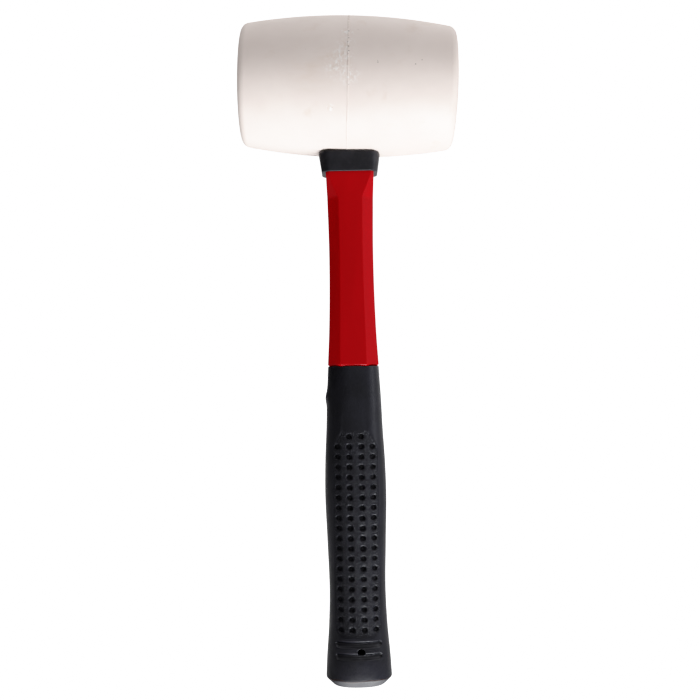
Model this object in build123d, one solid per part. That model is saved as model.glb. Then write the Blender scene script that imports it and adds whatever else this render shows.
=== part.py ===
# Rubber mallet: moulded rubber head on a jacketed glass-fibre shaft with a rubber grip.
# Millimetres. The handle stands along +Z with the butt at Z = 0 and the head on top.
# The striking axis is X, and the broad face of the handle looks along -Y.
# The head sits a little out of square on its handle, with its +X end lower.
from build123d import *
import math
import os

# ---- head ----
head_axis_z = 303.4
head_lean = 2.0
head_length = 111.0
head_mid_radius = 35.2
head_quarter_radius = 34.0
head_end_radius = 30.4
face_crown = 2.2
rim_fillet = 3.2
flash_height = 0.2
flash_width = 0.9

# ---- eye right through the head ----
eye_width = 24.4
eye_depth = 18.4
eye_corner = 5.0
resin_drop = 0.9

# ---- core rod ----
core_radius = 6.5
core_bottom_z = 32.0
core_top_z = 337.4
core_chamfer = 0.4

# ---- jacket ----
jacket_top_z = 293.0
jacket_bevel = 0.7
tang_width = 19.0
tang_depth = 15.0
tang_corner = 5.0
tang_bottom_z = 27.0

# ---- collar ----
collar_bottom_z = 258.8
collar_top_z = 273.0
collar_width = 28.4
collar_depth = 20.0
collar_flare_x = 4.0
collar_flare_y = 1.2
collar_corner = 4.6
collar_edge = 0.6

# ---- grip ----
grip_top_z = 160.9
grip_top_edge = 0.5
butt_bevel = 4.2
panel_top_z = 128.6
panel_shoulder_z = 120.4
panel_corner_z = 30.0
panel_bottom_z = 26.4
panel_top_half = 6.6
panel_half = 11.2
panel_recess = 0.3
dimple_radius = 1.25
dimple_depth = 1.3
dimple_rows = 20
dimple_pitch = 5.06
dimple_first_z = 125.7
dimple_inner_x = 3.05
dimple_outer_x = 8.7
groove_heights = (22.3, 16.4)
groove_length = 23.0
groove_width = 3.0
groove_depth = 1.4
hole_radius = 1.7
hole_x = 1.3
hole_z = 18.6

# Grip sections from the butt bevel up: height, half width, half depth, squareness of the oval.
grip_sections = (
    (butt_bevel, 16.7, 13.3, 2.3),
    (14.0, 16.15, 12.9, 2.3),
    (30.0, 14.9, 12.3, 2.2),
    (47.0, 14.3, 12.0, 2.2),
    (72.0, 14.9, 12.4, 2.2),
    (97.0, 15.6, 12.7, 2.2),
    (113.0, 15.25, 12.4, 2.2),
    (130.0, 14.35, 11.9, 2.3),
    (144.0, 13.85, 11.5, 2.4),
    (grip_top_z, 12.9, 10.7, 2.6),
)

# Jacket sections from the grip up: height, width, depth, width of the front flat.
waist_sections = (
    (grip_top_z + jacket_bevel, 25.7, 21.2, 13.4),
    (174.0, 24.25, 20.4, 13.0),
    (193.0, 22.9, 19.5, 12.2),
    (221.0, 22.35, 19.0, 11.6),
    (246.0, 23.25, 18.8, 12.1),
)
shoulder_sections = (
    (246.0, 23.25, 18.8, 12.1),
    (257.0, 24.1, 18.5, 21.0),
    (266.0, 24.4, 18.4, 22.6),
)


def superellipse(half_width, half_depth, power, angle):
    """Point of a squared oval at an angle."""
    c = math.cos(angle)
    s = math.sin(angle)
    x = half_width * math.copysign(abs(c) ** (2.0 / power), c)
    y = half_depth * math.copysign(abs(s) ** (2.0 / power), s)
    return x, y


def oval_section(z, half_width, half_depth, power):
    """Closed smooth section of the grip at one height."""
    points = [superellipse(half_width, half_depth, power, math.radians(22.5 * k)) for k in range(16)]
    return Plane.XY.offset(z) * make_face(Spline(*points, periodic=True))


def octagon_section(z, width, depth, flat):
    """Eight-sided section of the jacket at one height."""
    corner = (width - flat) / 2
    x = width / 2
    y = depth / 2
    outline = Polyline(
        (flat / 2, -y),
        (x, -y + corner),
        (x, y - corner),
        (flat / 2, y),
        (-flat / 2, y),
        (-x, y - corner),
        (-x, -y + corner),
        (-flat / 2, -y),
        close=True,
    )
    return Plane.XY.offset(z) * make_face(outline)


def upright_bar(width, depth, corner, z0, z1):
    """Upright bar with rounded corners."""
    section = Plane.XY.offset(z0) * RectangleRounded(width, depth, corner)
    return extrude(section, z1 - z0)


def upright_rod(radius, z0, z1):
    """Upright round bar."""
    rod = Cylinder(radius, z1 - z0, align=(Align.CENTER, Align.CENTER, Align.MIN))
    return Pos(0, 0, z0) * rod


def eye_bar(z0, z1):
    """Solid that fills the eye between two heights."""
    return upright_bar(eye_width, eye_depth, eye_corner, z0, z1)


def head_barrel():
    """Barrel turned about the striking axis, with crowned faces and the moulding flash."""
    x_end = head_length / 2
    sphere = (head_end_radius**2 + face_crown**2) / (2 * face_crown)
    sweep = math.degrees(math.asin(head_end_radius / sphere))
    crown = JernArc(start=(x_end, 0), tangent=(0, 1), radius=sphere, arc_size=sweep)
    corner = crown @ 1
    start = (flash_width / 2, head_mid_radius)
    flash = Polyline((0, 0), (0, head_mid_radius + flash_height), start)
    side = ThreePointArc(start, (corner.X / 2, head_quarter_radius), corner)
    base = Line((x_end, 0), (0, 0))
    profile = make_face([*flash.edges(), side, crown, base])
    rim = profile.vertices().sort_by_distance(corner)[0]
    half = revolve(fillet(rim, rim_fillet), Axis.X)
    barrel = half + mirror(half, Plane.YZ)
    return Pos(0, 0, head_axis_z) * Rotation(0, head_lean, 0) * barrel


def head():
    """Barrel with the eye right through it."""
    return head_barrel() - eye_bar(250.0, 350.0)


def shaft_core():
    """Glass-fibre rod."""
    rod = upright_rod(core_radius, core_bottom_z, core_top_z)
    return chamfer(rod.edges().filter_by(GeomType.CIRCLE), core_chamfer)


def jacket_outer():
    """Waisted eight-sided part of the jacket, with a bevel at its lower end."""
    z, width, depth, flat = waist_sections[0]
    cut = 2 * jacket_bevel
    foot = octagon_section(z - jacket_bevel, width - cut, depth - cut, flat - 0.8 * jacket_bevel)
    bevel = loft([foot, octagon_section(*waist_sections[0])], ruled=True)
    waist = loft([octagon_section(*row) for row in waist_sections])
    shoulder = loft([octagon_section(*row) for row in shoulder_sections], ruled=True)
    return bevel + waist + shoulder


def tang(grow=0.0):
    """Part of the jacket inside the grip."""
    return upright_bar(tang_width, tang_depth, tang_corner, tang_bottom_z, grip_top_z + grow)


def shaft_jacket():
    """Jacket with its end in the head and its tang inside the grip."""
    body = jacket_outer() + eye_bar(266.0, jacket_top_z) + tang(1.0)
    return body - upright_rod(core_radius, core_bottom_z, 350.0)


def eye_epoxy():
    """Resin round the rod above the jacket."""
    bar = Cylinder(head_mid_radius - resin_drop, head_length)
    limit = Pos(0, 0, head_axis_z) * Rotation(0, 90 + head_lean, 0) * bar
    fill = eye_bar(jacket_top_z, 350.0) & limit
    return fill - upright_rod(core_radius, core_bottom_z, 350.0)


def collar():
    """Rubber collar between the head and the jacket."""
    e = collar_edge
    rings = (
        (collar_bottom_z, -2 * e, -2 * e, collar_corner - e),
        (collar_bottom_z + e, 0.0, 0.0, collar_corner),
        (collar_top_z, collar_flare_x, collar_flare_y, collar_corner + collar_flare_y / 2),
    )
    sections = [
        Plane.XY.offset(z) * RectangleRounded(collar_width + gx, collar_depth + gy, corner)
        for z, gx, gy, corner in rings
    ]
    return loft(sections, ruled=True) - head_barrel() - jacket_outer() - eye_bar(266.0, 300.0)


def grip_body(inset=0.0):
    """Oval sleeve with a bevelled butt, optionally reduced all round."""
    sections = [oval_section(z, a - inset, b - inset, n) for z, a, b, n in grip_sections]
    z, a, b, n = grip_sections[0]
    t = butt_bevel + inset
    butt = loft([oval_section(0.0, a - t, b - t, n), sections[0]], ruled=True)
    return butt + loft(sections)


def grip_half_depth(x, z):
    """How far the grip reaches along Y at a place on its front."""
    pairs = zip(grip_sections[:-1], grip_sections[1:])
    low, high = [pair for pair in pairs if pair[0][0] <= z <= pair[1][0]][0]
    share = (z - low[0]) / (high[0] - low[0])
    a, b, n = [p + share * (q - p) for p, q in zip(low[1:], high[1:])]
    return b * (1 - (abs(x) / a) ** n) ** (1 / n)


def panel_prism():
    """Outline of the stippled panel, drawn out through the front and back."""
    outline = Polyline(
        (panel_top_half, panel_top_z),
        (panel_half, panel_shoulder_z),
        (panel_half, panel_corner_z),
        (panel_half - 3.0, panel_bottom_z),
        (3.0 - panel_half, panel_bottom_z),
        (-panel_half, panel_corner_z),
        (-panel_half, panel_shoulder_z),
        (-panel_top_half, panel_top_z),
        close=True,
    )
    return extrude(Plane.XZ * make_face(outline), 40.0, both=True)


def groove_prism(z):
    """Outline of one groove, drawn out through the front and back."""
    outline = Plane.XZ * (Pos(0, z) * SlotOverall(groove_length, groove_width))
    return extrude(outline, 40.0, both=True)


def dimple_tools():
    """Cutters for the blind dimples on the front and back of the panel."""
    tools = []
    for row in range(dimple_rows):
        z = dimple_first_z - row * dimple_pitch
        columns = (dimple_inner_x,) if row == 0 else (dimple_inner_x, dimple_outer_x)
        for x in columns:
            floor = grip_half_depth(x, z) - panel_recess - dimple_depth
            for sx in (-1, 1):
                for sy in (-1, 1):
                    pin = Rotation(90, 0, 0) * Cylinder(dimple_radius, 8.0)
                    tools.append(Pos(sx * x, sy * (floor + 4.0), z) * pin)
    return tools


def grip():
    """Rubber sleeve, closed at the butt."""
    body = grip_body() - tang()
    top = body.edges().group_by(Axis.Z)[-1].sort_by(SortBy.LENGTH)[-1]
    body = chamfer(top, grip_top_edge)
    body = body - (panel_prism() - grip_body(panel_recess))
    deep = grip_body(groove_depth)
    for z in groove_heights:
        body = body - (groove_prism(z) - deep)
    hole = Pos(hole_x, 0, hole_z) * Rotation(90, 0, 0) * Cylinder(hole_radius, 60.0)
    return body - dimple_tools() - hole


os.makedirs("parts", exist_ok=True)
export_step(head(), "parts/head.step")
export_step(shaft_core(), "parts/shaft_core.step")
export_step(shaft_jacket(), "parts/shaft_jacket.step")
export_step(eye_epoxy(), "parts/eye_epoxy.step")
export_step(collar(), "parts/collar.step")
export_step(grip(), "parts/grip.step")
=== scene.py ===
import math

import bpy
import bmesh
import numpy as np
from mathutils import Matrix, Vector

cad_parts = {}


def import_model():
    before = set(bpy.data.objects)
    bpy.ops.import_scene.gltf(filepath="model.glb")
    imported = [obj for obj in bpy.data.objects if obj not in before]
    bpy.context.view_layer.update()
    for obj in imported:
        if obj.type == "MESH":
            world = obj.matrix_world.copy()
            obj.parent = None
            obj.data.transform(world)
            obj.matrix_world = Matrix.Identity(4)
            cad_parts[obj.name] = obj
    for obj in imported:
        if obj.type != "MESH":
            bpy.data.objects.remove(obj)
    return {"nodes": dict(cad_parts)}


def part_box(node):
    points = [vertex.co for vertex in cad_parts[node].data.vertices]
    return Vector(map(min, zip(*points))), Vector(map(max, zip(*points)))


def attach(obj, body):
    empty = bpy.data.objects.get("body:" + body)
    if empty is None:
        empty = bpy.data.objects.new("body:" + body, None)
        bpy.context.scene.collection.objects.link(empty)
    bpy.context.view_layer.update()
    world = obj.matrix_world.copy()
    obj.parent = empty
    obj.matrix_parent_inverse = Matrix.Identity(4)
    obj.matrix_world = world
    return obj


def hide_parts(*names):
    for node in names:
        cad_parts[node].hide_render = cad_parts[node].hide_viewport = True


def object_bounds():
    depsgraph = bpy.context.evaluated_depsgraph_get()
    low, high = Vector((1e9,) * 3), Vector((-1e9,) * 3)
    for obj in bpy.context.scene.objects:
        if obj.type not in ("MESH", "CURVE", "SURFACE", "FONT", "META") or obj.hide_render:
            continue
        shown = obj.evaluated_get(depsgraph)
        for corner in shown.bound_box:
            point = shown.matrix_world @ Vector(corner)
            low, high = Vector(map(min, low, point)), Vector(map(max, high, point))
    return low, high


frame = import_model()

MM = 0.001
cad_low, cad_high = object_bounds()

# ------------------------------------------------------------------ sizes, in millimetres
def box_mm(node):
    """Lower and upper corner of a CAD node's box."""
    low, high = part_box(node)
    return np.array(low) / MM, np.array(high) / MM


head_low, head_high = box_mm("head")
collar_low = box_mm("collar")[0]
grip_high = box_mm("grip")[1]
resin_high = box_mm("eye_epoxy")[1]

# Head
FLASH_HEIGHT = 0.2
FLASH_HALF = 0.45
HEAD_AXIS_Z = (head_low[2] + head_high[2]) / 2
HEAD_HALF = 55.5
HEAD_LEAN = math.radians(2.0)
HEAD_MID_RADIUS = head_high[1] - FLASH_HEIGHT
HEAD_QUARTER_RADIUS = HEAD_MID_RADIUS - 1.2
HEAD_END_RADIUS = HEAD_MID_RADIUS - 4.8
FACE_CROWN = 2.2
RIM_ROUND = 3.2
HEAD_SIDES = 480
EYE_HALF = (resin_high[0], resin_high[1])
EYE_CORNER = 5.0
EYE_FLOOR_Z = 255.0
# Flare at the eye's upper mouth: height above the barrel's top line, growth on every side.
EYE_MOUTH = ((-4.0, 0.0), (-1.9, 0.05), (-1.2, 0.25), (-0.5, 0.7), (1.5, 2.6))

# Grip sections from the butt bevel up: height, half width, half depth, squareness of the oval.
BUTT_BEVEL = 4.2
GRIP_TOP = grip_high[2]
GRIP_SECTIONS = np.array((
    (BUTT_BEVEL, 16.7, 13.3, 2.3),
    (14.0, 16.15, 12.9, 2.3),
    (30.0, 14.9, 12.3, 2.2),
    (47.0, 14.3, 12.0, 2.2),
    (72.0, 14.9, 12.4, 2.2),
    (97.0, 15.6, 12.7, 2.2),
    (113.0, 15.25, 12.4, 2.2),
    (130.0, 14.35, 11.9, 2.3),
    (144.0, 13.85, 11.5, 2.4),
    (GRIP_TOP, 12.9, 10.7, 2.6),
))

GRIP_SIDE_COUNT = 26
# Butt below the bevel: height, inset.
BUTT_RINGS = (
    (4.8, 0.0), (4.45, 0.03), (4.15, 0.12), (3.85, 0.34), (3.4, 0.8), (2.4, 1.8), (1.4, 2.8),
    (0.75, 3.5), (0.42, 4.0), (0.22, 4.6), (0.1, 5.4), (0.03, 6.6), (0.0, 8.2), (0.0, 10.5),
)
# Rounded top edge: drop from the top, inset.
TOP_RINGS = ((0.0, 2.6), (0.0, 0.7), (0.03, 0.45), (0.12, 0.25), (0.3, 0.08), (0.5, 0.02), (0.8, 0.0))
# Small swell on the grip's left side: middle height, spread along Z, spread along Y, size.
SWELL_Z = 145.0
SWELL_REACH_Z = 3.2
SWELL_REACH_Y = 6.0
SWELL_SIZE = 0.75

# Dimpled panel, grooves and hole
PANEL_TOP = 128.6
PANEL_SHOULDER = 120.4
PANEL_CORNER = 30.0
PANEL_BOTTOM = 26.4
PANEL_TOP_HALF = 6.6
PANEL_HALF = 11.2
PANEL_FOOT_HALF = 8.2
PANEL_RECESS = 0.3
TONGUE_TOP = 147.0
TONGUE_HALF = 5.2
DIMPLE_ROWS = 20
DIMPLE_PITCH = 5.06
DIMPLE_FIRST = 125.7
DIMPLE_COLUMNS = (-8.7, -3.05, 3.05, 8.7)
DIMPLE_RADII = (0.0, 0.8, 0.94, 1.02, 1.08, 1.16, 1.35, 1.55, 1.72, 1.88)
DIMPLE_DEPTHS = (1.3, 1.3, 1.24, 1.12, 0.86, 0.52, 0.32, 0.17, 0.05, 0.0)
DIMPLE_PATCH = 2.1
TOP_ROW_REACH = 5.0
GROOVES = (22.3, 16.4)
GROOVE_HALF = 11.5
GROOVE_RADII = (0.0, 0.35, 0.7, 1.0, 1.25, 1.45, 1.62, 1.8, 2.0)
GROOVE_DEPTHS = (1.4, 1.34, 1.16, 0.92, 0.64, 0.38, 0.17, 0.05, 0.0)
HOLE_X = 1.3
HOLE_Z = 18.6
HOLE_RADIUS = 1.7
# Half of the hole's cutter, from outside to the middle: place along Y, radius.
HOLE_SPOOL = ((16.0, 2.6), (12.75, 2.05), (12.3, 1.8), (11.9, HOLE_RADIUS), (0.0, HOLE_RADIUS))
HOLE_SIDES = 40

# Jacket sections from the grip up: height, width, depth, width of the front flat.
JACKET_BEVEL = 0.7
JACKET_FOOT = GRIP_TOP
JACKET_END = 272.0
JACKET_STEP = 1.1
# Rings of the lower bevel: rise above the foot, inset.
JACKET_BEVEL_RINGS = (
    (0.0, 3.0), (0.0, 0.8), (0.03, 0.7), (0.1, 0.6), (0.6, 0.1), (0.7, 0.03), (0.8, 0.0),
)
JACKET_SECTIONS = np.array((
    (JACKET_FOOT + JACKET_BEVEL, 25.7, 21.2, 13.4),
    (174.0, 24.25, 20.4, 13.0),
    (193.0, 22.9, 19.5, 12.2),
    (221.0, 22.35, 19.0, 11.6),
    (246.0, 23.25, 18.8, 12.1),
))
JACKET_SHOULDER = np.array((
    (246.0, 23.25, 18.8, 12.1),
    (257.0, 24.1, 18.5, 21.0),
    (266.0, 24.4, 18.4, 22.6),
))
JACKET_EDGE = 0.45

# Collar
COLLAR_BOTTOM = collar_low[2]
COLLAR_HALF = (14.2, 10.0)
COLLAR_CORNER = 4.6
COLLAR_CORNER_GROWTH = 1.0
COLLAR_FLARE = np.array((2.0, 0.6))
COLLAR_EDGE = 0.6
COLLAR_FLARE_HEIGHT = 13.6
# Rounded lower edge: inset (negative is inward), rise above the bottom.
COLLAR_FOOT = ((-3.4, 0.0), (-1.0, 0.0), (-0.55, 0.03), (-0.25, 0.12), (-0.08, 0.28), (0.0, 0.5))
# Rounded upper edge: share of the wall's height, how far it is drawn in.
COLLAR_TOP = ((0.9, 0.03), (0.935, 0.12), (0.965, 0.3), (0.985, 0.6), (0.998, 1.1), (1.04, 3.4))


# ------------------------------------------------------------------ shape helpers
def smooth_step(value):
    """0 below 0, 1 above 1, smooth between."""
    t = np.clip(value, 0.0, 1.0)
    return t * t * (3 - 2 * t)


def smooth_rows(table, heights):
    """Rows of a section table at other heights, on a smooth cubic through the rows."""
    z = table[:, 0]
    values = table[:, 1:]
    slope = np.gradient(values, z, axis=0)
    heights = np.clip(heights, z[0], z[-1])
    low = np.clip(np.searchsorted(z, heights, side="right") - 1, 0, len(z) - 2)
    span = (z[low + 1] - z[low])[:, None]
    t = (heights - z[low])[:, None] / span
    return (
        (1 + 2 * t) * (1 - t) ** 2 * values[low]
        + t * (1 - t) ** 2 * span * slope[low]
        + t * t * (3 - 2 * t) * values[low + 1]
        - t * t * (1 - t) * span * slope[low + 1]
    )


def grid_object(name, points, close_first=False, close_last=False):
    """Mesh object of rings of points, rows x columns x 3 in millimetres, joined round."""
    rows, columns, _ = points.shape
    index = np.arange(rows * columns).reshape(rows, columns)
    right = np.roll(index, -1, axis=1)
    quads = np.stack((index[:-1], right[:-1], right[1:], index[1:]), axis=-1).reshape(-1, 4)
    vertices = [tuple(p) for p in points.reshape(-1, 3) * MM]
    faces = [tuple(int(i) for i in quad) for quad in quads]
    for wanted, row in ((close_first, 0), (close_last, rows - 1)):
        if wanted:
            centre = len(vertices)
            vertices.append(tuple(points[row].mean(axis=0) * MM))
            faces += [(int(a), int(b), centre) for a, b in zip(index[row], right[row])]
    mesh = bpy.data.meshes.new(name)
    mesh.from_pydata(vertices, [], faces)
    tidy_mesh(mesh)
    piece = bpy.data.objects.new(name, mesh)
    bpy.context.scene.collection.objects.link(piece)
    return piece


def tidy_mesh(mesh):
    """Faces outward and smooth."""
    work = bmesh.new()
    work.from_mesh(mesh)
    bmesh.ops.recalc_face_normals(work, faces=work.faces)
    for face in work.faces:
        face.smooth = True
    work.to_mesh(mesh)
    work.free()


def cut_with(piece, cutter):
    """Cuts the cutter out of the piece and removes the cutter."""
    modifier = piece.modifiers.new("cut", "BOOLEAN")
    modifier.operation = "DIFFERENCE"
    modifier.solver = "EXACT"
    modifier.object = cutter
    bpy.context.view_layer.update()
    result = bpy.data.meshes.new_from_object(piece.evaluated_get(bpy.context.evaluated_depsgraph_get()))
    piece.modifiers.clear()
    piece.data = result
    bpy.data.objects.remove(cutter)
    for polygon in result.polygons:
        polygon.use_smooth = True


def rounded_outline(corners, cut, steps=4):
    """Closed outline with each corner eased over a short length."""
    corners = np.asarray(corners, float)
    before = np.roll(corners, 1, axis=0)
    after = np.roll(corners, -1, axis=0)
    points = []
    for here, last, following in zip(corners, before, after):
        length_in = np.linalg.norm(last - here)
        length_out = np.linalg.norm(following - here)
        start = here + (last - here) / length_in * min(cut, 0.45 * length_in)
        end = here + (following - here) / length_out * min(cut, 0.45 * length_out)
        for t in np.linspace(0, 1, steps + 1):
            points.append((1 - t) ** 2 * start + 2 * t * (1 - t) * here + t * t * end)
    return np.array(points)


def round_rectangle(half_x, half_y, radius, steps=7):
    """Rectangle with true round corners."""
    points = []
    for turn, (sx, sy) in enumerate(((1, 1), (-1, 1), (-1, -1), (1, -1))):
        for t in np.linspace(0, math.pi / 2, steps):
            angle = turn * math.pi / 2 + t
            x = sx * (half_x - radius) + radius * math.cos(angle)
            y = sy * (half_y - radius) + radius * math.sin(angle)
            points.append((x, y))
    return np.array(points)


# ------------------------------------------------------------------ head
def circle_through(p, q, r):
    """Centre and radius of the circle through three points."""
    (ax, ay), (bx, by), (cx, cy) = p, q, r
    d = 2 * (ax * (by - cy) + bx * (cy - ay) + cx * (ay - by))
    a2, b2, c2 = ax * ax + ay * ay, bx * bx + by * by, cx * cx + cy * cy
    x = (a2 * (by - cy) + b2 * (cy - ay) + c2 * (ay - by)) / d
    y = (a2 * (cx - bx) + b2 * (ax - cx) + c2 * (bx - ax)) / d
    return x, y, math.hypot(ax - x, ay - y)


RIM_X = HEAD_HALF - FACE_CROWN
SIDE_ARC = circle_through(
    (0, HEAD_MID_RADIUS), (RIM_X / 2, HEAD_QUARTER_RADIUS), (RIM_X, HEAD_END_RADIUS)
)


def barrel_radius(x):
    """Radius of the barrel's side at a place along the striking axis."""
    cx, cy, r = SIDE_ARC
    return cy + np.sqrt(r * r - (np.abs(x) - cx) ** 2)


def lean(points):
    """Tips points on the square barrel to the head's real lean, right end down."""
    x, y, z = points[..., 0], points[..., 1], points[..., 2] - HEAD_AXIS_Z
    c, s = math.cos(HEAD_LEAN), math.sin(HEAD_LEAN)
    return np.stack((c * x + s * z, y, HEAD_AXIS_Z - s * x + c * z), axis=-1)


def barrel_underside(x, y):
    """Height of the leaning barrel's lower surface above or below a place."""
    along = x.copy()
    for _ in range(4):
        drop = np.sqrt(np.maximum(barrel_radius(along) ** 2 - y * y, 1.0))
        along = (x + drop * math.sin(HEAD_LEAN)) / math.cos(HEAD_LEAN)
    return HEAD_AXIS_Z - along * math.sin(HEAD_LEAN) - drop * math.cos(HEAD_LEAN)


# Places along the barrel beside the seam, close together where the flash is.
SEAM_X = (0.0, 0.08, 0.16, 0.26, 0.36, 0.46, 0.6, 0.8, 1.1, 1.5, 2.0, 2.6, 3.4, 4.4)
SIDE_STEP = 1.2
RIM_WEIGHT = 0.78
RIM_CORNER = np.array((RIM_X + 0.25, HEAD_END_RADIUS + 0.15))


def half_profile():
    """(x, radius) points from the mid seam to the middle of one striking face."""
    side_x = np.concatenate((SEAM_X, np.arange(5.6, RIM_X - RIM_ROUND, SIDE_STEP)))
    side = np.stack((side_x, barrel_radius(side_x)), axis=1)
    sphere = (HEAD_END_RADIUS**2 + FACE_CROWN**2) / (2 * FACE_CROWN)
    face_r = np.linspace(HEAD_END_RADIUS - RIM_ROUND, 0.6, 22)
    face_x = HEAD_HALF - sphere + np.sqrt(sphere**2 - face_r**2)
    face = np.stack((face_x, face_r), axis=1)
    start = side[-1]
    end = face[0]
    rim = []
    for t in np.linspace(0, 1, 13)[1:-1]:
        a, b, c = (1 - t) ** 2, 2 * t * (1 - t) * RIM_WEIGHT, t * t
        rim.append((a * start + b * RIM_CORNER + c * end) / (a + b + c))
    return np.concatenate((side, rim, face))


def head():
    """White rubber barrel with its moulding flash, and the mouth of the eye on top."""
    right = half_profile()
    left = right[::-1] * (-1, 1)
    profile = np.concatenate((left[:-1], right))
    angles = np.linspace(0, 2 * math.pi, HEAD_SIDES, endpoint=False)
    x = profile[:, 0][:, None] + 0 * angles
    radius = profile[:, 1][:, None] + 0 * angles
    # The flash wanders to either side and varies in height round the barrel.
    wander = 0.10 * np.sin(3 * angles + 0.6) + 0.06 * np.sin(11 * angles)
    ridge = 1.0 + 0.25 * np.sin(17 * angles + 1.0) + 0.2 * np.sin(41 * angles)
    near = np.clip(1 - np.abs(x - wander) / FLASH_HALF, 0, 1)
    radius = radius + 0.8 * FLASH_HEIGHT * near * np.clip(ridge, 0.35, 1.25)
    points = np.stack((x, radius * np.sin(angles), HEAD_AXIS_Z + radius * np.cos(angles)), axis=-1)
    piece = grid_object("head_barrel", lean(points), close_first=True, close_last=True)
    cut_with(piece, eye_cutter())
    return piece


def eye_cutter():
    """Bar that opens the eye, flaring at its top mouth."""
    top = HEAD_AXIS_Z + HEAD_MID_RADIUS
    levels = [(EYE_FLOOR_Z, 0.0)] + [(top + rise, grow) for rise, grow in EYE_MOUTH]
    rings = []
    for z, grow in levels:
        outline = round_rectangle(EYE_HALF[0] + grow, EYE_HALF[1] + grow, EYE_CORNER + grow)
        rings.append(np.column_stack((outline, np.full(len(outline), z))))
    return grid_object("eye_cutter", np.array(rings), close_first=True, close_last=True)


# ------------------------------------------------------------------ collar
def collar():
    """Black rubber collar, its top edge rounded against the barrel."""
    wall = [(share, 0.0) for share in np.linspace(0.08, 0.86, 8)]
    rings = []
    base_x, base_y = COLLAR_HALF
    for inset, height in COLLAR_FOOT:
        outline = round_rectangle(base_x + inset, base_y + inset, COLLAR_CORNER + inset)
        rings.append(np.column_stack((outline, np.full(len(outline), COLLAR_BOTTOM + height))))

    def ring_at(share, pull):
        """Ring at a share of the way up to the barrel, drawn in by a share of the half width."""
        corner = COLLAR_CORNER + COLLAR_CORNER_GROWTH * min(share, 1.0)
        outline = round_rectangle(base_x, base_y, corner)
        top = barrel_underside(outline[:, 0], outline[:, 1])
        z = COLLAR_BOTTOM + share * (top - COLLAR_BOTTOM)
        for _ in range(3):
            rise = np.maximum(z - COLLAR_BOTTOM - COLLAR_EDGE, 0.0) / COLLAR_FLARE_HEIGHT
            grow = rise[:, None] * COLLAR_FLARE - pull
            moved = outline * (1 + grow / np.array(COLLAR_HALF))
            top = barrel_underside(moved[:, 0], moved[:, 1])
            z = COLLAR_BOTTOM + share * (top - COLLAR_BOTTOM)
        return np.column_stack((moved, z))

    for share, pull in (*wall, *COLLAR_TOP):
        rings.append(ring_at(share, pull))
    return grid_object("collar_boot", np.array(rings))


# ------------------------------------------------------------------ jacket
def octagon(width, depth, flat, inset=0.0):
    """Corners of the jacket's eight-sided section."""
    x = width / 2 - inset
    y = depth / 2 - inset
    corner = (width - flat) / 2 - 0.59 * inset
    return (
        (x - corner, -y), (x, -y + corner), (x, y - corner), (x - corner, y),
        (-x + corner, y), (-x, y - corner), (-x, -y + corner), (-x + corner, -y),
    )


def jacket():
    """Red eight-sided jacket from the grip to the head."""
    levels = [(JACKET_FOOT + rise, inset) for rise, inset in JACKET_BEVEL_RINGS]
    levels += [(z, 0.0) for z in np.arange(JACKET_FOOT + 1.6, JACKET_END, JACKET_STEP)]
    heights = np.array([z for z, _ in levels])
    waist = smooth_rows(JACKET_SECTIONS, heights)
    shoulder = np.stack(
        [np.interp(heights, JACKET_SHOULDER[:, 0], JACKET_SHOULDER[:, k]) for k in (1, 2, 3)], axis=1
    )
    use_shoulder = heights > JACKET_SHOULDER[0, 0]
    sections = np.where(use_shoulder[:, None], shoulder, waist)
    rings = []
    for (z, inset), (width, depth, flat) in zip(levels, sections):
        outline = rounded_outline(octagon(width, depth, flat, inset), JACKET_EDGE)
        rings.append(np.column_stack((outline, np.full(len(outline), z))))
    return grid_object("jacket_shell", np.array(rings))


# ------------------------------------------------------------------ grip
def spread(centres, offsets):
    """Every centre with every offset either side of it."""
    both = np.concatenate((-np.array(offsets[::-1]), (0.0,), offsets))
    return np.concatenate([centre + both for centre in centres])


def dimple_heights():
    """Heights of the dimple rows."""
    return DIMPLE_FIRST - DIMPLE_PITCH * np.arange(DIMPLE_ROWS)


def grip_columns():
    """Places across the front, dense where there are dimples or edges."""
    rings = DIMPLE_RADII[1:] + (DIMPLE_PATCH,)
    between = (0.0, 5.87, -5.87)
    edges = np.array((10.75, 10.98, 11.2, 11.42, 11.65, 12.0))
    columns = np.concatenate((spread(DIMPLE_COLUMNS, rings), between, edges, -edges))
    return np.unique(np.round(columns, 4))


def grip_levels():
    """(height, inset) of each ring from the top edge to the butt."""
    top = [(GRIP_TOP - drop, inset) for drop, inset in TOP_RINGS]
    rings = DIMPLE_RADII[1:] + (DIMPLE_PATCH,)
    grooves = spread(GROOVES, (0.25, 0.5, 0.75, 1.0, 1.15, 1.3, 1.42, 1.55, 1.68, 1.82, 2.0, 2.2))
    neck = np.arange(130.0, GRIP_TOP - 2, 1.0)
    edge = (128.0, 128.25, 128.5, 128.75, 129.0, 129.4)
    foot = np.concatenate((np.arange(5.6, 14.2, 1.2), (19.7, 25.3, 26.0, 26.5, 27.2)))
    heights = np.concatenate((spread(dimple_heights(), rings), grooves, neck, edge, foot))
    heights = np.unique(np.round(heights, 3))[::-1]
    keep = np.concatenate(((True,), np.diff(heights) < -0.03))
    body = [(z, 0.0) for z in heights[keep]]
    return top + body + list(BUTT_RINGS)


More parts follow.
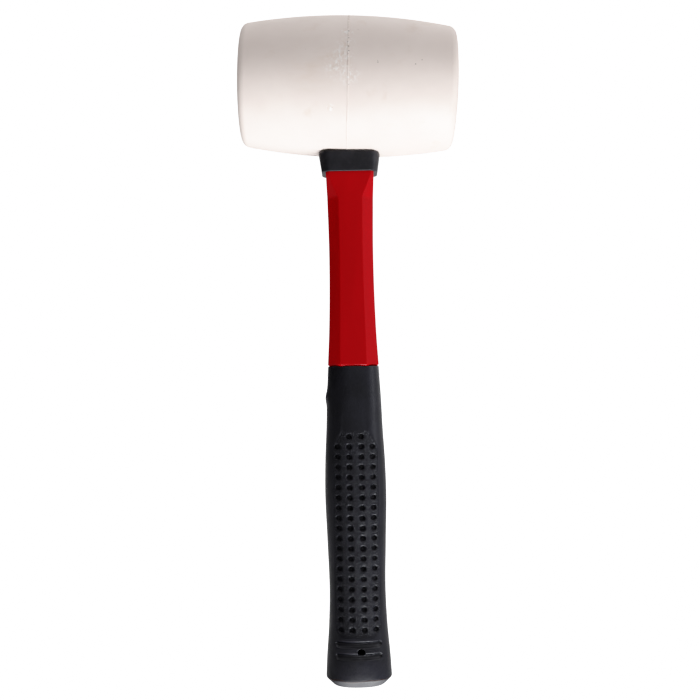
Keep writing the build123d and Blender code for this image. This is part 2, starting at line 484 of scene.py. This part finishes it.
def circle_warp(x, z):
    """Moves grid points so that the rings round each dimple are true circles."""
    moved_x, moved_z = x.copy(), z.copy()
    depth = np.zeros_like(x)
    for row, z0 in enumerate(dimple_heights()):
        for x0 in DIMPLE_COLUMNS:
            if row == 0 and abs(x0) > TOP_ROW_REACH:
                continue
            s, t = x - x0, z - z0
            m = np.maximum(np.abs(s), np.abs(t))
            inside = (m <= DIMPLE_PATCH + 1e-6) & (m > 1e-9)
            wide = np.abs(s) >= np.abs(t)
            big = np.where(wide, s, t)
            small = np.where(wide, t, s)
            angle = math.pi / 4 * small / np.where(np.abs(big) < 1e-9, 1, big)
            along = np.sign(big) * m * np.cos(angle)
            across = np.sign(big) * m * np.sin(angle)
            round_x = np.where(wide, along, across)
            round_z = np.where(wide, across, along)
            share = 1 - np.clip((m - DIMPLE_RADII[-1]) / (DIMPLE_PATCH - DIMPLE_RADII[-1]), 0, 1)
            moved_x = np.where(inside, x0 + share * round_x + (1 - share) * s, moved_x)
            moved_z = np.where(inside, z0 + share * round_z + (1 - share) * t, moved_z)
            within = m <= DIMPLE_RADII[-1] + 1e-6
            depth = np.where(within, np.interp(m, DIMPLE_RADII, DIMPLE_DEPTHS), depth)
    return moved_x, moved_z, depth


def panel_shares(x, z):
    """Two shares: how far the panel is sunk, and how far it is stippled."""
    half = np.interp(
        z,
        (PANEL_BOTTOM, PANEL_CORNER, PANEL_SHOULDER, PANEL_TOP, TONGUE_TOP),
        (PANEL_FOOT_HALF, PANEL_HALF, PANEL_HALF, PANEL_TOP_HALF, TONGUE_HALF),
    )
    blur = np.interp(z, (PANEL_SHOULDER, PANEL_TOP, TONGUE_TOP), (0.45, 0.9, 3.5))
    side = smooth_step((half - np.abs(x)) / blur + 0.5)
    foot = smooth_step((z - PANEL_BOTTOM) / 0.45 + 0.5)
    tongue = 1 - smooth_step((z - PANEL_TOP + 3.0) / (TONGUE_TOP - PANEL_TOP + 3.0))
    stipple = 1 - smooth_step((z - PANEL_TOP) / 1.6 + 0.5)
    return side * foot * tongue, side * foot * stipple


def groove_depth(x, z):
    """Depth of the two grooves."""
    deepest = np.zeros_like(x)
    for z0 in GROOVES:
        beyond = np.maximum(np.abs(x) - (GROOVE_HALF - 1.5), 0)
        away = np.hypot(beyond, z - z0)
        deepest = np.maximum(deepest, np.interp(away, GROOVE_RADII, GROOVE_DEPTHS))
    return deepest


def grip_face(columns, levels, side):
    """Front (side -1) or back (side +1) of the grip, with its moulded detail."""
    z = np.repeat(levels[:, 0][:, None], len(columns), axis=1)
    x = np.repeat(columns[None, :], len(levels), axis=0)
    x, z, dimples = circle_warp(x, z)
    plain = levels[:, 1][:, None] == 0
    flat_z = z.reshape(-1)
    a, b, n = (part.reshape(z.shape) for part in smooth_rows(GRIP_SECTIONS, flat_z).T)
    inset = levels[:, 1][:, None]
    x = x * (a - inset) / a
    y = (b - inset) * (1 - np.clip(np.abs(x) / (a - inset), 0, 1) ** n) ** (1 / n)
    sunk, stippled = panel_shares(x, z)
    sink = (PANEL_RECESS * sunk + dimples + groove_depth(x, z)) * plain
    return np.stack((x, side * (y - sink), z), axis=-1), stippled * plain


def grip_side(points_front, levels, sign):
    """Side of the grip from its front edge to its back edge, evenly spaced."""
    rows = []
    a, b, n = smooth_rows(GRIP_SECTIONS, levels[:, 0]).T
    for k, (z, inset) in enumerate(levels):
        half_a, half_b = a[k] - inset, b[k] - inset
        x_edge = abs(points_front[k, 0])
        start = math.acos(min(1.0, (x_edge / half_a) ** (n[k] / 2)))
        angle = np.linspace(-start, start, 400)
        cx = half_a * np.abs(np.cos(angle)) ** (2 / n[k])
        cy = half_b * np.sign(angle) * np.abs(np.sin(angle)) ** (2 / n[k])
        length = np.concatenate(((0,), np.cumsum(np.hypot(np.diff(cx), np.diff(cy)))))
        want = np.linspace(0, length[-1], GRIP_SIDE_COUNT + 2)[1:-1]
        swell = 0.0
        if sign < 0 and inset == 0:
            swell = SWELL_SIZE * math.exp(-(((z - SWELL_Z) / SWELL_REACH_Z) ** 2))
        line_x = np.interp(want, length, cx)
        line_y = np.interp(want, length, cy)
        bulge = swell * np.exp(-((line_y / SWELL_REACH_Y) ** 2))
        rows.append(np.column_stack((sign * (line_x + bulge), line_y, np.full(GRIP_SIDE_COUNT, z))))
    return np.array(rows)


def grip():
    """Black rubber sleeve with its dimpled panels, grooves, hole and bevelled butt."""
    columns = grip_columns()
    levels = np.array(grip_levels())
    front, front_panel = grip_face(columns, levels, -1)
    back, back_panel = grip_face(columns, levels, 1)
    right = grip_side(front[:, -1], levels, 1)
    left = grip_side(front[:, 0], levels, -1)
    points = np.concatenate((front, right, back[:, ::-1], left[:, ::-1]), axis=1)
    piece = grid_object("grip_sleeve", points, close_last=True)
    none = np.zeros((len(levels), GRIP_SIDE_COUNT))
    panel = np.concatenate((front_panel, none, back_panel[:, ::-1], none), axis=1).reshape(-1)
    mask = piece.data.attributes.new("panel", "FLOAT", "POINT")
    values = np.zeros(len(piece.data.vertices), np.float32)
    values[: len(panel)] = panel
    mask.data.foreach_set("value", values)
    cut_with(piece, hole_cutter())
    return piece


def hole_cutter():
    """Spool that cuts the small hole through the grip and eases its rims."""
    levels = [(-y, r) for y, r in HOLE_SPOOL] + [(y, r) for y, r in HOLE_SPOOL[:-1][::-1]]
    angle = np.linspace(0, 2 * math.pi, HOLE_SIDES, endpoint=False)
    rings = []
    for y, r in levels:
        x = HOLE_X + r * np.cos(angle)
        z = HOLE_Z + r * np.sin(angle)
        rings.append(np.column_stack((x, np.full(HOLE_SIDES, y), z)))
    return grid_object("hole_cutter", np.array(rings), close_first=True, close_last=True)


# ------------------------------------------------------------------ materials
class Nodes:
    """Short calls for building one material's node tree."""

    def __init__(self, name):
        self.material = bpy.data.materials.new(name)
        self.material.use_nodes = True
        self.tree = self.material.node_tree
        self.shader = self.tree.nodes["Principled BSDF"]
        self.place = self.add("ShaderNodeTexCoord").outputs["Object"]

    def add(self, kind, **settings):
        node = self.tree.nodes.new(kind)
        for key, value in settings.items():
            setattr(node, key, value)
        return node

    def link(self, output, socket):
        self.tree.links.new(output, socket)

    def put(self, value, socket):
        if isinstance(value, bpy.types.NodeSocket):
            self.link(value, socket)
        else:
            socket.default_value = value

    def noise(self, scale, detail=3.0, rough=0.5, stretch=None):
        """Noise by scale per metre; stretch scales the axes first."""
        node = self.add("ShaderNodeTexNoise")
        node.inputs["Scale"].default_value = scale
        node.inputs["Detail"].default_value = detail
        node.inputs["Roughness"].default_value = rough
        place = self.place
        if stretch:
            mapping = self.add("ShaderNodeMapping")
            mapping.inputs["Scale"].default_value = stretch
            self.link(place, mapping.inputs["Vector"])
            place = mapping.outputs["Vector"]
        self.link(place, node.inputs["Vector"])
        return node.outputs["Fac"]

    def cells(self, scale):
        """Distance to the nearest of scattered points, by scale per metre."""
        node = self.add("ShaderNodeTexVoronoi")
        node.inputs["Scale"].default_value = scale
        self.link(self.place, node.inputs["Vector"])
        return node.outputs["Distance"]

    def ramp(self, value, low, high, to_low=0.0, to_high=1.0):
        """Maps a range to another, smoothly and clamped."""
        node = self.add("ShaderNodeMapRange", interpolation_type="SMOOTHSTEP")
        self.put(value, node.inputs["Value"])
        node.inputs["From Min"].default_value = low
        node.inputs["From Max"].default_value = high
        node.inputs["To Min"].default_value = to_low
        node.inputs["To Max"].default_value = to_high
        return node.outputs["Result"]

    def math(self, operation, a, b=0.0):
        node = self.add("ShaderNodeMath", operation=operation)
        self.put(a, node.inputs[0])
        self.put(b, node.inputs[1])
        return node.outputs[0]

    def mix(self, share, a, b):
        """Mixes two colours."""
        node = self.add("ShaderNodeMix", data_type="RGBA")
        self.put(share, node.inputs["Factor"])
        for value, socket in ((a, node.inputs[6]), (b, node.inputs[7])):
            self.put((*value, 1.0) if isinstance(value, tuple) else value, socket)
        return node.outputs[2]

    def axis(self, letter):
        """Place along one axis, in metres."""
        node = self.add("ShaderNodeSeparateXYZ")
        self.link(self.place, node.inputs[0])
        return node.outputs[letter]

    def near(self, point, radius, soft=0.4):
        """1 at a point (millimetres), 0 beyond a radius."""
        node = self.add("ShaderNodeVectorMath", operation="DISTANCE")
        self.link(self.place, node.inputs[0])
        node.inputs[1].default_value = [c * MM for c in point]
        return self.ramp(node.outputs["Value"], radius * soft * MM, radius * MM, 1.0, 0.0)

    def attribute(self, name):
        """Value stored on the mesh under a name."""
        return self.add("ShaderNodeAttribute", attribute_name=name).outputs["Fac"]

    def bump(self, height, distance_mm, strength):
        """Normal of a surface raised by height times a distance."""
        node = self.add("ShaderNodeBump")
        self.link(height, node.inputs["Height"])
        node.inputs["Distance"].default_value = distance_mm * MM
        node.inputs["Strength"].default_value = strength
        return node.outputs["Normal"]

    def finish(self, color, rough, normal=None, **settings):
        """Connects the looks to the shader and returns the material."""
        color = (*color, 1.0) if isinstance(color, tuple) else color
        self.put(color, self.shader.inputs["Base Color"])
        self.put(rough, self.shader.inputs["Roughness"])
        if normal is not None:
            self.link(normal, self.shader.inputs["Normal"])
        for key, value in settings.items():
            self.shader.inputs[key].default_value = value
        return self.material


def head_spot(x, angle):
    """Place on the head's front: millimetres along the barrel, degrees above the front."""
    radius = barrel_radius(x)
    up = math.radians(angle)
    return lean(np.array((x, -radius * math.cos(up), HEAD_AXIS_Z + radius * math.sin(up))))


# Small moulding pits: place along the barrel, degrees above the front, radius, darkness of the painted
# shade in each.
PITS = (
    (0.1, 33.0, 0.6, 0.75), (-0.1, 28.0, 0.4, 0.4), (0.2, 25.5, 0.5, 0.55), (-0.2, 21.5, 0.45, 0.6),
    (0.1, 17.5, 0.5, 0.65), (0.3, 13.5, 0.5, 0.7), (0.0, 11.0, 0.4, 0.5), (0.5, -13.0, 0.35, 0.5),
    (14.3, 4.6, 0.45, 0.6), (14.2, 6.0, 0.35, 0.4), (32.4, 4.5, 0.45, 0.6), (35.5, 8.5, 0.4, 0.55),
    (-7.4, -31.0, 0.3, 0.4), (4.6, 35.0, 0.4, 0.3), (-20.5, 15.0, 0.3, 0.25),
)
# Rubbed, mottled places beside the seam: place along the barrel, degrees above the front, radius.
RUBBED = (
    (-5.0, 1.0, 9.0), (-3.0, 9.0, 8.5), (0.5, -5.0, 7.5), (-1.0, 20.0, 6.0), (-0.5, 33.0, 5.0),
)
# One small pale blemish and one broad smudge, each: place along the barrel, degrees, radius.
BLEMISH = (-8.2, -31.0, 2.2)
SMUDGE = (-14.0, 1.0, 20.0)
# Colours of the white rubber.
CREAM = (0.838, 0.738, 0.692)
PALE_CREAM = (0.885, 0.787, 0.741)
STAIN = (0.66, 0.50, 0.40)
SMUDGE_TAN = (0.72, 0.57, 0.46)
SEAM_DIRT = (0.50, 0.39, 0.31)
FLECK_WHITE = (0.97, 0.93, 0.91)
RUBBED_TAN = (0.68, 0.54, 0.45)
# Painted shade inside the moulding pits.
PIT_SHADE = (0.16, 0.12, 0.11)
# Colours of the red plastic.
DEEP_RED = (0.430, 0.0015, 0.0078)
BRIGHT_RED = (0.495, 0.0022, 0.0108)
# Black rubber: grey levels, and how much bluer the grip and the collar are.
BLACK = (0.0118, 0.0116, 0.0118)
SOFT_BLACK = (0.0175, 0.0173, 0.0175)
GRIP_BLUE = 1.42
COLLAR_BLUE = 1.15
COLLAR_GAIN = 2.1
COLLAR_BLOOM = (0.045, 0.044, 0.046)
# Painted shade: dark brown line in the crevice where the collar's top meets the head, and its heights
# in metres.
CREVICE_SHADE_BROWN = (0.006, 0.0035, 0.002)
CREVICE_SHADE_Z = (0.2687, 0.2695)
# Brown moulding line round the butt, and the duller rubber below it; heights in metres.
RIM_BROWN = (0.034, 0.015, 0.011)
RIM_Z = (0.0039, 0.0050)
DULL_Z = (0.0036, 0.0044)


def seam_share(n):
    """1 on the moulding seam, fading out within a millimetre."""
    along = n.math("MULTIPLY", n.axis("X"), math.cos(HEAD_LEAN))
    rise = n.math("MULTIPLY", n.math("SUBTRACT", n.axis("Z"), HEAD_AXIS_Z * MM), math.sin(HEAD_LEAN))
    away = n.math("ABSOLUTE", n.math("SUBTRACT", along, rise))
    return n.ramp(away, 0.0001, 0.0008, 1.0, 0.0)


def seam_dirt(n):
    """Broken dirt along the seam, stronger on the upper half."""
    broken = n.ramp(n.noise(260, 2), 0.45, 0.62, 0.02, 0.42)
    low, high = (HEAD_AXIS_Z - 4) * MM, (HEAD_AXIS_Z + 10) * MM
    upper = n.ramp(n.axis("Z"), low, high, 0.22, 1.0)
    return n.math("MULTIPLY", n.math("MULTIPLY", seam_share(n), broken), upper)


def rubbed_patch(n):
    """1 where the surface beside the seam is rubbed and mottled."""
    x, angle, radius = BLEMISH
    patch = n.near(head_spot(x, angle), radius, 0.5)
    for x, angle, radius in RUBBED:
        patch = n.math("MAXIMUM", patch, n.near(head_spot(x, angle), radius, 0.0))
    return patch


def pit_shade_and_depth(n):
    """How dark each place is from the painted shade in the small moulding pits."""
    share = None
    for x, angle, radius, dark in PITS:
        spot = n.math("MULTIPLY", n.near(head_spot(x, angle), radius, 0.2), dark)
        share = spot if share is None else n.math("MAXIMUM", share, spot)
    return share


def white_rubber():
    """Matt off-white moulded rubber: faint clouds and stains, fine grain, pits along the seam with
    painted shade in them.
    """
    n = Nodes("white_rubber")
    color = n.mix(n.ramp(n.noise(28, 4, 0.55), 0.35, 0.7), CREAM, PALE_CREAM)
    stains = n.ramp(n.noise(75, 3, 0.6), 0.58, 0.78)
    color = n.mix(n.math("MULTIPLY", stains, 0.28), color, STAIN)
    x, angle, radius = SMUDGE
    streaks = n.ramp(n.noise(95, 3, 0.6, (0.35, 1.0, 1.0)), 0.42, 0.68, 0.0, 0.34)
    smudge = n.math("MULTIPLY", n.near(head_spot(x, angle), radius, 0.2), streaks)
    color = n.mix(smudge, color, SMUDGE_TAN)
    color = n.mix(seam_dirt(n), color, SEAM_DIRT)
    patch = rubbed_patch(n)
    flecks = n.ramp(n.noise(720, 3, 0.6, (1.0, 1.0, 0.75)), 0.47, 0.66)
    flecks = n.math("MULTIPLY", flecks, patch)
    color = n.mix(n.math("MULTIPLY", flecks, 0.85), color, FLECK_WHITE)
    rubbed = n.ramp(n.noise(340, 3, 0.6, (1.0, 1.0, 0.7)), 0.50, 0.68, 0.0, 0.42)
    color = n.mix(n.math("MULTIPLY", rubbed, patch), color, RUBBED_TAN)
    pits = pit_shade_and_depth(n)
    # Painted shade inside the small pits; the same share also sinks the pits in the bump.
    color = n.mix(pits, color, PIT_SHADE)
    grain = n.noise(2600, 2)
    waves = n.noise(160, 3)
    height = n.math("ADD", n.math("MULTIPLY", grain, 0.35), waves)
    height = n.math("ADD", height, n.math("MULTIPLY", flecks, 0.9))
    height = n.math("SUBTRACT", height, n.math("MULTIPLY", pits, 2.5))
    rough = n.ramp(n.noise(60, 3), 0.3, 0.7, 0.5, 0.66)
    return n.finish(color, rough, n.bump(height, 0.12, 0.55))


def red_plastic():
    """Satin moulded red plastic with slight flow variation and fine scuffs."""
    n = Nodes("red_plastic")
    flow = n.noise(50, 3, 0.5, (1.0, 1.0, 0.25))
    color = n.mix(n.ramp(flow, 0.3, 0.7), DEEP_RED, BRIGHT_RED)
    scuff = n.noise(900, 2, 0.6, (1.0, 1.0, 0.08))
    rough = n.ramp(scuff, 0.35, 0.75, 0.30, 0.36)
    height = n.math("ADD", n.noise(1500, 2), n.math("MULTIPLY", n.noise(220, 2), 1.6))
    return n.finish(color, rough, n.bump(height, 0.02, 0.45), **{"Specular IOR Level": 0.4})


def rubber_base(n, gain, blue):
    """Colour, fine grain and roughness that both black rubber pieces share."""
    dark, pale = ((gain * r, gain * g, gain * b * blue) for r, g, b in (BLACK, SOFT_BLACK))
    color = n.mix(n.ramp(n.noise(90, 3), 0.3, 0.7), dark, pale)
    fine = n.math("MULTIPLY", n.noise(1400, 2), 0.35)
    rough = n.ramp(n.noise(300, 3), 0.3, 0.7, 0.31, 0.40)
    return color, fine, rough


def collar_rubber():
    """Satin black rubber with a faint bloom and a painted shade line in the crevice where it meets the
    head.
    """
    n = Nodes("black_collar_rubber")
    color, fine, rough = rubber_base(n, COLLAR_GAIN, COLLAR_BLUE)
    bloom = n.ramp(n.noise(420, 3), 0.45, 0.8, 0.0, 0.5)
    color = n.mix(bloom, color, COLLAR_BLOOM)
    # Painted shade in the crevice between the collar's top edge and the barrel.
    color = n.mix(n.ramp(n.axis("Z"), *CREVICE_SHADE_Z), color, CREVICE_SHADE_BROWN)
    return n.finish(color, rough, n.bump(fine, 0.08, 0.5), **{"Specular IOR Level": 0.7})


def grip_rubber():
    """Satin black rubber, finely stippled where the panel mask says so, duller under the butt."""
    n = Nodes("black_grip_rubber")
    color, fine, rough = rubber_base(n, 1.0, GRIP_BLUE)
    mask = n.attribute("panel")
    grains = n.ramp(n.cells(1500), 0.05, 0.6, 1.0, 0.0)
    height = n.math("ADD", n.math("MULTIPLY", grains, mask), fine)
    rough = n.math("ADD", rough, n.math("MULTIPLY", mask, 0.08))
    rough = n.math("ADD", rough, n.ramp(n.axis("Z"), *DULL_Z, 0.26, 0.0))
    line = n.ramp(n.noise(150, 3), 0.3, 0.7, *RIM_Z)
    away = n.math("ABSOLUTE", n.math("SUBTRACT", n.axis("Z"), line))
    color = n.mix(n.ramp(away, 0.0001, 0.0004, 0.7, 0.0), color, RIM_BROWN)
    return n.finish(color, rough, n.bump(height, 0.2, 1.0), **{"Specular IOR Level": 0.85})


def glass_fibre():
    """Sawn end of a glass-fibre rod."""
    n = Nodes("glass_fibre")
    dots = n.ramp(n.cells(2600), 0.1, 0.6)
    color = n.mix(dots, (0.62, 0.60, 0.50), (0.78, 0.77, 0.70))
    rough = n.ramp(n.noise(800), 0.3, 0.7, 0.45, 0.65)
    return n.finish(color, rough, n.bump(dots, 0.05, 0.5))


def cured_resin():
    """Hard amber resin poured into the eye."""
    n = Nodes("cured_resin")
    swirl = n.ramp(n.noise(180, 4, 0.6), 0.3, 0.75)
    color = n.mix(swirl, (0.42, 0.29, 0.13), (0.60, 0.47, 0.26))
    rough = n.ramp(n.noise(420), 0.3, 0.7, 0.18, 0.34)
    return n.finish(color, rough, n.bump(n.noise(260, 2), 0.15, 0.5))


def paint(piece, material):
    """One material on a piece."""
    piece.data.materials.clear()
    piece.data.materials.append(material)


# ------------------------------------------------------------------ the object
def place(piece, material, slot, *nodes):
    """Paints a piece, hides its CAD nodes and ties it to the body."""
    paint(piece, material)
    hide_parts(*nodes)
    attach(piece, "root")


place(head(), white_rubber(), "white_rubber", "head")
place(collar(), collar_rubber(), "black_collar_rubber", "collar")
place(jacket(), red_plastic(), "red_plastic", "shaft_jacket")
place(grip(), grip_rubber(), "black_grip_rubber", "grip")
paint(frame["nodes"]["shaft_core"], glass_fibre())
paint(frame["nodes"]["eye_epoxy"], cured_resin())


# ------------------------------------------------------------------ studio
# What the camera sees behind the mallet, and what the floor and the surround give it.
WHITE = 1.3
FLOOR_HALF = 12.0
FLOOR_GAP = 0.0001
FLOOR_LIGHT = 0.1
FLOOR_GLOW = 1.9
FRONT_LIGHT = 0.46
BACK_LIGHT = 0.75
TOP_LIGHT = 0.56
LEFT_SHARE = 0.12
GLOW_PLACE = (2, -17, 0)
GLOW_RADIUS = 22
SUN_TINT = (0.95, 0.985, 1.0)
SIDE_TINT = (0.93, 0.95, 1.0)
EYE_PLACE = (-1.55, -506.0, 162.3)
AIM_PLACE = (-1.55, 0.0, 169.05)
CAMERA_ROLL = math.radians(-1.1)
CAMERA_LENS = 51.0
# Scene brightness and the brightness shown for it.
TONE_CURVE = (
    (0.02, 0.0035), (0.045, 0.015), (0.08, 0.048), (0.13, 0.108), (0.2, 0.195),
    (0.35, 0.35), (0.6, 0.6), (0.8, 0.785), (0.95, 0.9), (1.1, 0.965),
)


def floor():
    """Pale seamless floor that glows a little just in front of the butt and casts no shadow."""
    work = bmesh.new()
    bmesh.ops.create_grid(work, x_segments=24, y_segments=24, size=FLOOR_HALF)
    mesh = bpy.data.meshes.new("floor")
    work.to_mesh(mesh)
    work.free()
    plane = bpy.data.objects.new("floor", mesh)
    bpy.context.scene.collection.objects.link(plane)
    plane.location = (0, 0, cad_low.z - FLOOR_GAP)
    n = Nodes("floor_white")
    n.finish((0.5, 0.5, 0.5), 0.9)
    n.shader.inputs["Emission Color"].default_value = (1, 1, 1, 1)
    seen = n.add("ShaderNodeLightPath").outputs["Is Camera Ray"]
    glow = n.near(GLOW_PLACE, GLOW_RADIUS, 0.35)
    light = n.math("ADD", n.math("MULTIPLY", glow, FLOOR_GLOW), FLOOR_LIGHT)
    unseen = n.math("SUBTRACT", 1.0, seen)
    shown = n.math("ADD", n.math("MULTIPLY", unseen, light), n.math("MULTIPLY", seen, WHITE))
    n.link(shown, n.shader.inputs["Emission Strength"])
    plane.data.materials.append(n.material)
    plane.visible_shadow = False


def world():
    """White to the camera; its light is dim in front and to the left, stronger behind and above."""
    scene_world = bpy.data.worlds.new("studio")
    bpy.context.scene.world = scene_world
    scene_world.use_nodes = True
    tree = scene_world.node_tree
    tree.nodes.clear()

    def node(kind, **settings):
        made = tree.nodes.new(kind)
        for key, value in settings.items():
            setattr(made, key, value)
        return made

    def ramp(value, low, high, to_low, to_high):
        made = node("ShaderNodeMapRange", interpolation_type="SMOOTHSTEP")
        tree.links.new(value, made.inputs["Value"])
        for socket, number in zip(made.inputs[1:5], (low, high, to_low, to_high)):
            socket.default_value = number
        return made.outputs["Result"]

    def math_node(operation, a, b):
        made = node("ShaderNodeMath", operation=operation)
        tree.links.new(a, made.inputs[0])
        tree.links.new(b, made.inputs[1])
        return made.outputs[0]

    split = node("ShaderNodeSeparateXYZ")
    tree.links.new(node("ShaderNodeTexCoord").outputs["Generated"], split.inputs[0])
    behind = ramp(split.outputs["Y"], -0.4, 0.6, FRONT_LIGHT, BACK_LIGHT)
    above = ramp(split.outputs["Z"], 0.3, 0.85, 0.0, TOP_LIGHT)
    left = ramp(split.outputs["X"], -0.8, 0.1, LEFT_SHARE, 1.0)
    light = math_node("ADD", math_node("MULTIPLY", behind, left), above)
    choose = node("ShaderNodeMix")
    tree.links.new(node("ShaderNodeLightPath").outputs["Is Camera Ray"], choose.inputs[0])
    tree.links.new(light, choose.inputs[2])
    choose.inputs[3].default_value = WHITE
    background = node("ShaderNodeBackground")
    background.inputs["Color"].default_value = (1, 1, 1, 1)
    tree.links.new(choose.outputs[0], background.inputs["Strength"])
    tree.links.new(background.outputs[0], node("ShaderNodeOutputWorld").inputs[0])


def softbox(name, place_mm, aim_mm, width_mm, height_mm, watts, color):
    """Rectangular soft light that the camera doesn't see."""
    light = bpy.data.lights.new(name, "AREA")
    light.shape = "RECTANGLE"
    light.size = width_mm * MM
    light.size_y = height_mm * MM
    light.energy = watts
    light.color = color
    lamp = bpy.data.objects.new(name, light)
    bpy.context.scene.collection.objects.link(lamp)
    lamp.location = Vector(place_mm) * MM
    direction = (Vector(aim_mm) - Vector(place_mm)).normalized()
    lamp.rotation_euler = direction.to_track_quat("-Z", "Y").to_euler()
    lamp.visible_camera = False


def low_sun(elevation, azimuth, strength, softness):
    """Broad directional light from below and in front; azimuth is measured to the right."""
    light = bpy.data.lights.new("low_sun", "SUN")
    light.energy = strength * math.pi
    light.color = SUN_TINT
    light.angle = math.radians(softness)
    lamp = bpy.data.objects.new("low_sun", light)
    bpy.context.scene.collection.objects.link(lamp)
    up, side = math.radians(elevation), math.radians(azimuth)
    source = Vector((math.cos(up) * math.sin(side), -math.cos(up) * math.cos(side), math.sin(up)))
    lamp.rotation_euler = (-source).to_track_quat("-Z", "Y").to_euler()


def tone():
    """Contrasty darks and a soft shoulder up to white."""
    view = bpy.context.scene.view_settings
    view.view_transform = "Standard"
    view.look = "None"
    view.use_curve_mapping = True
    mapping = view.curve_mapping
    mapping.extend = "HORIZONTAL"
    mapping.white_level = (WHITE, WHITE, WHITE)
    curve = mapping.curves[3]
    for bright, shown in TONE_CURVE:
        curve.points.new(bright / WHITE, shown)
    mapping.update()


def camera():
    """Level camera in front of the mallet, half a metre away."""
    data = bpy.data.cameras.new("camera")
    data.sensor_width = 36.0
    data.lens = CAMERA_LENS
    data.clip_start = 0.01
    eye = bpy.data.objects.new("camera", data)
    bpy.context.scene.collection.objects.link(eye)
    eye.location = Vector(EYE_PLACE) * MM
    aim = Vector(AIM_PLACE) * MM
    turn = (aim - eye.location).to_track_quat("-Z", "Y").to_euler()
    turn.rotate_axis("Z", CAMERA_ROLL)
    eye.rotation_euler = turn
    bpy.context.scene.camera = eye


floor()
world()
low_sun(-70, 40, 0.97, 30)
softbox("right_side", (700, -250, 200), (0, 0, 140), 260, 700, 0.5, SIDE_TINT)
camera()
tone()
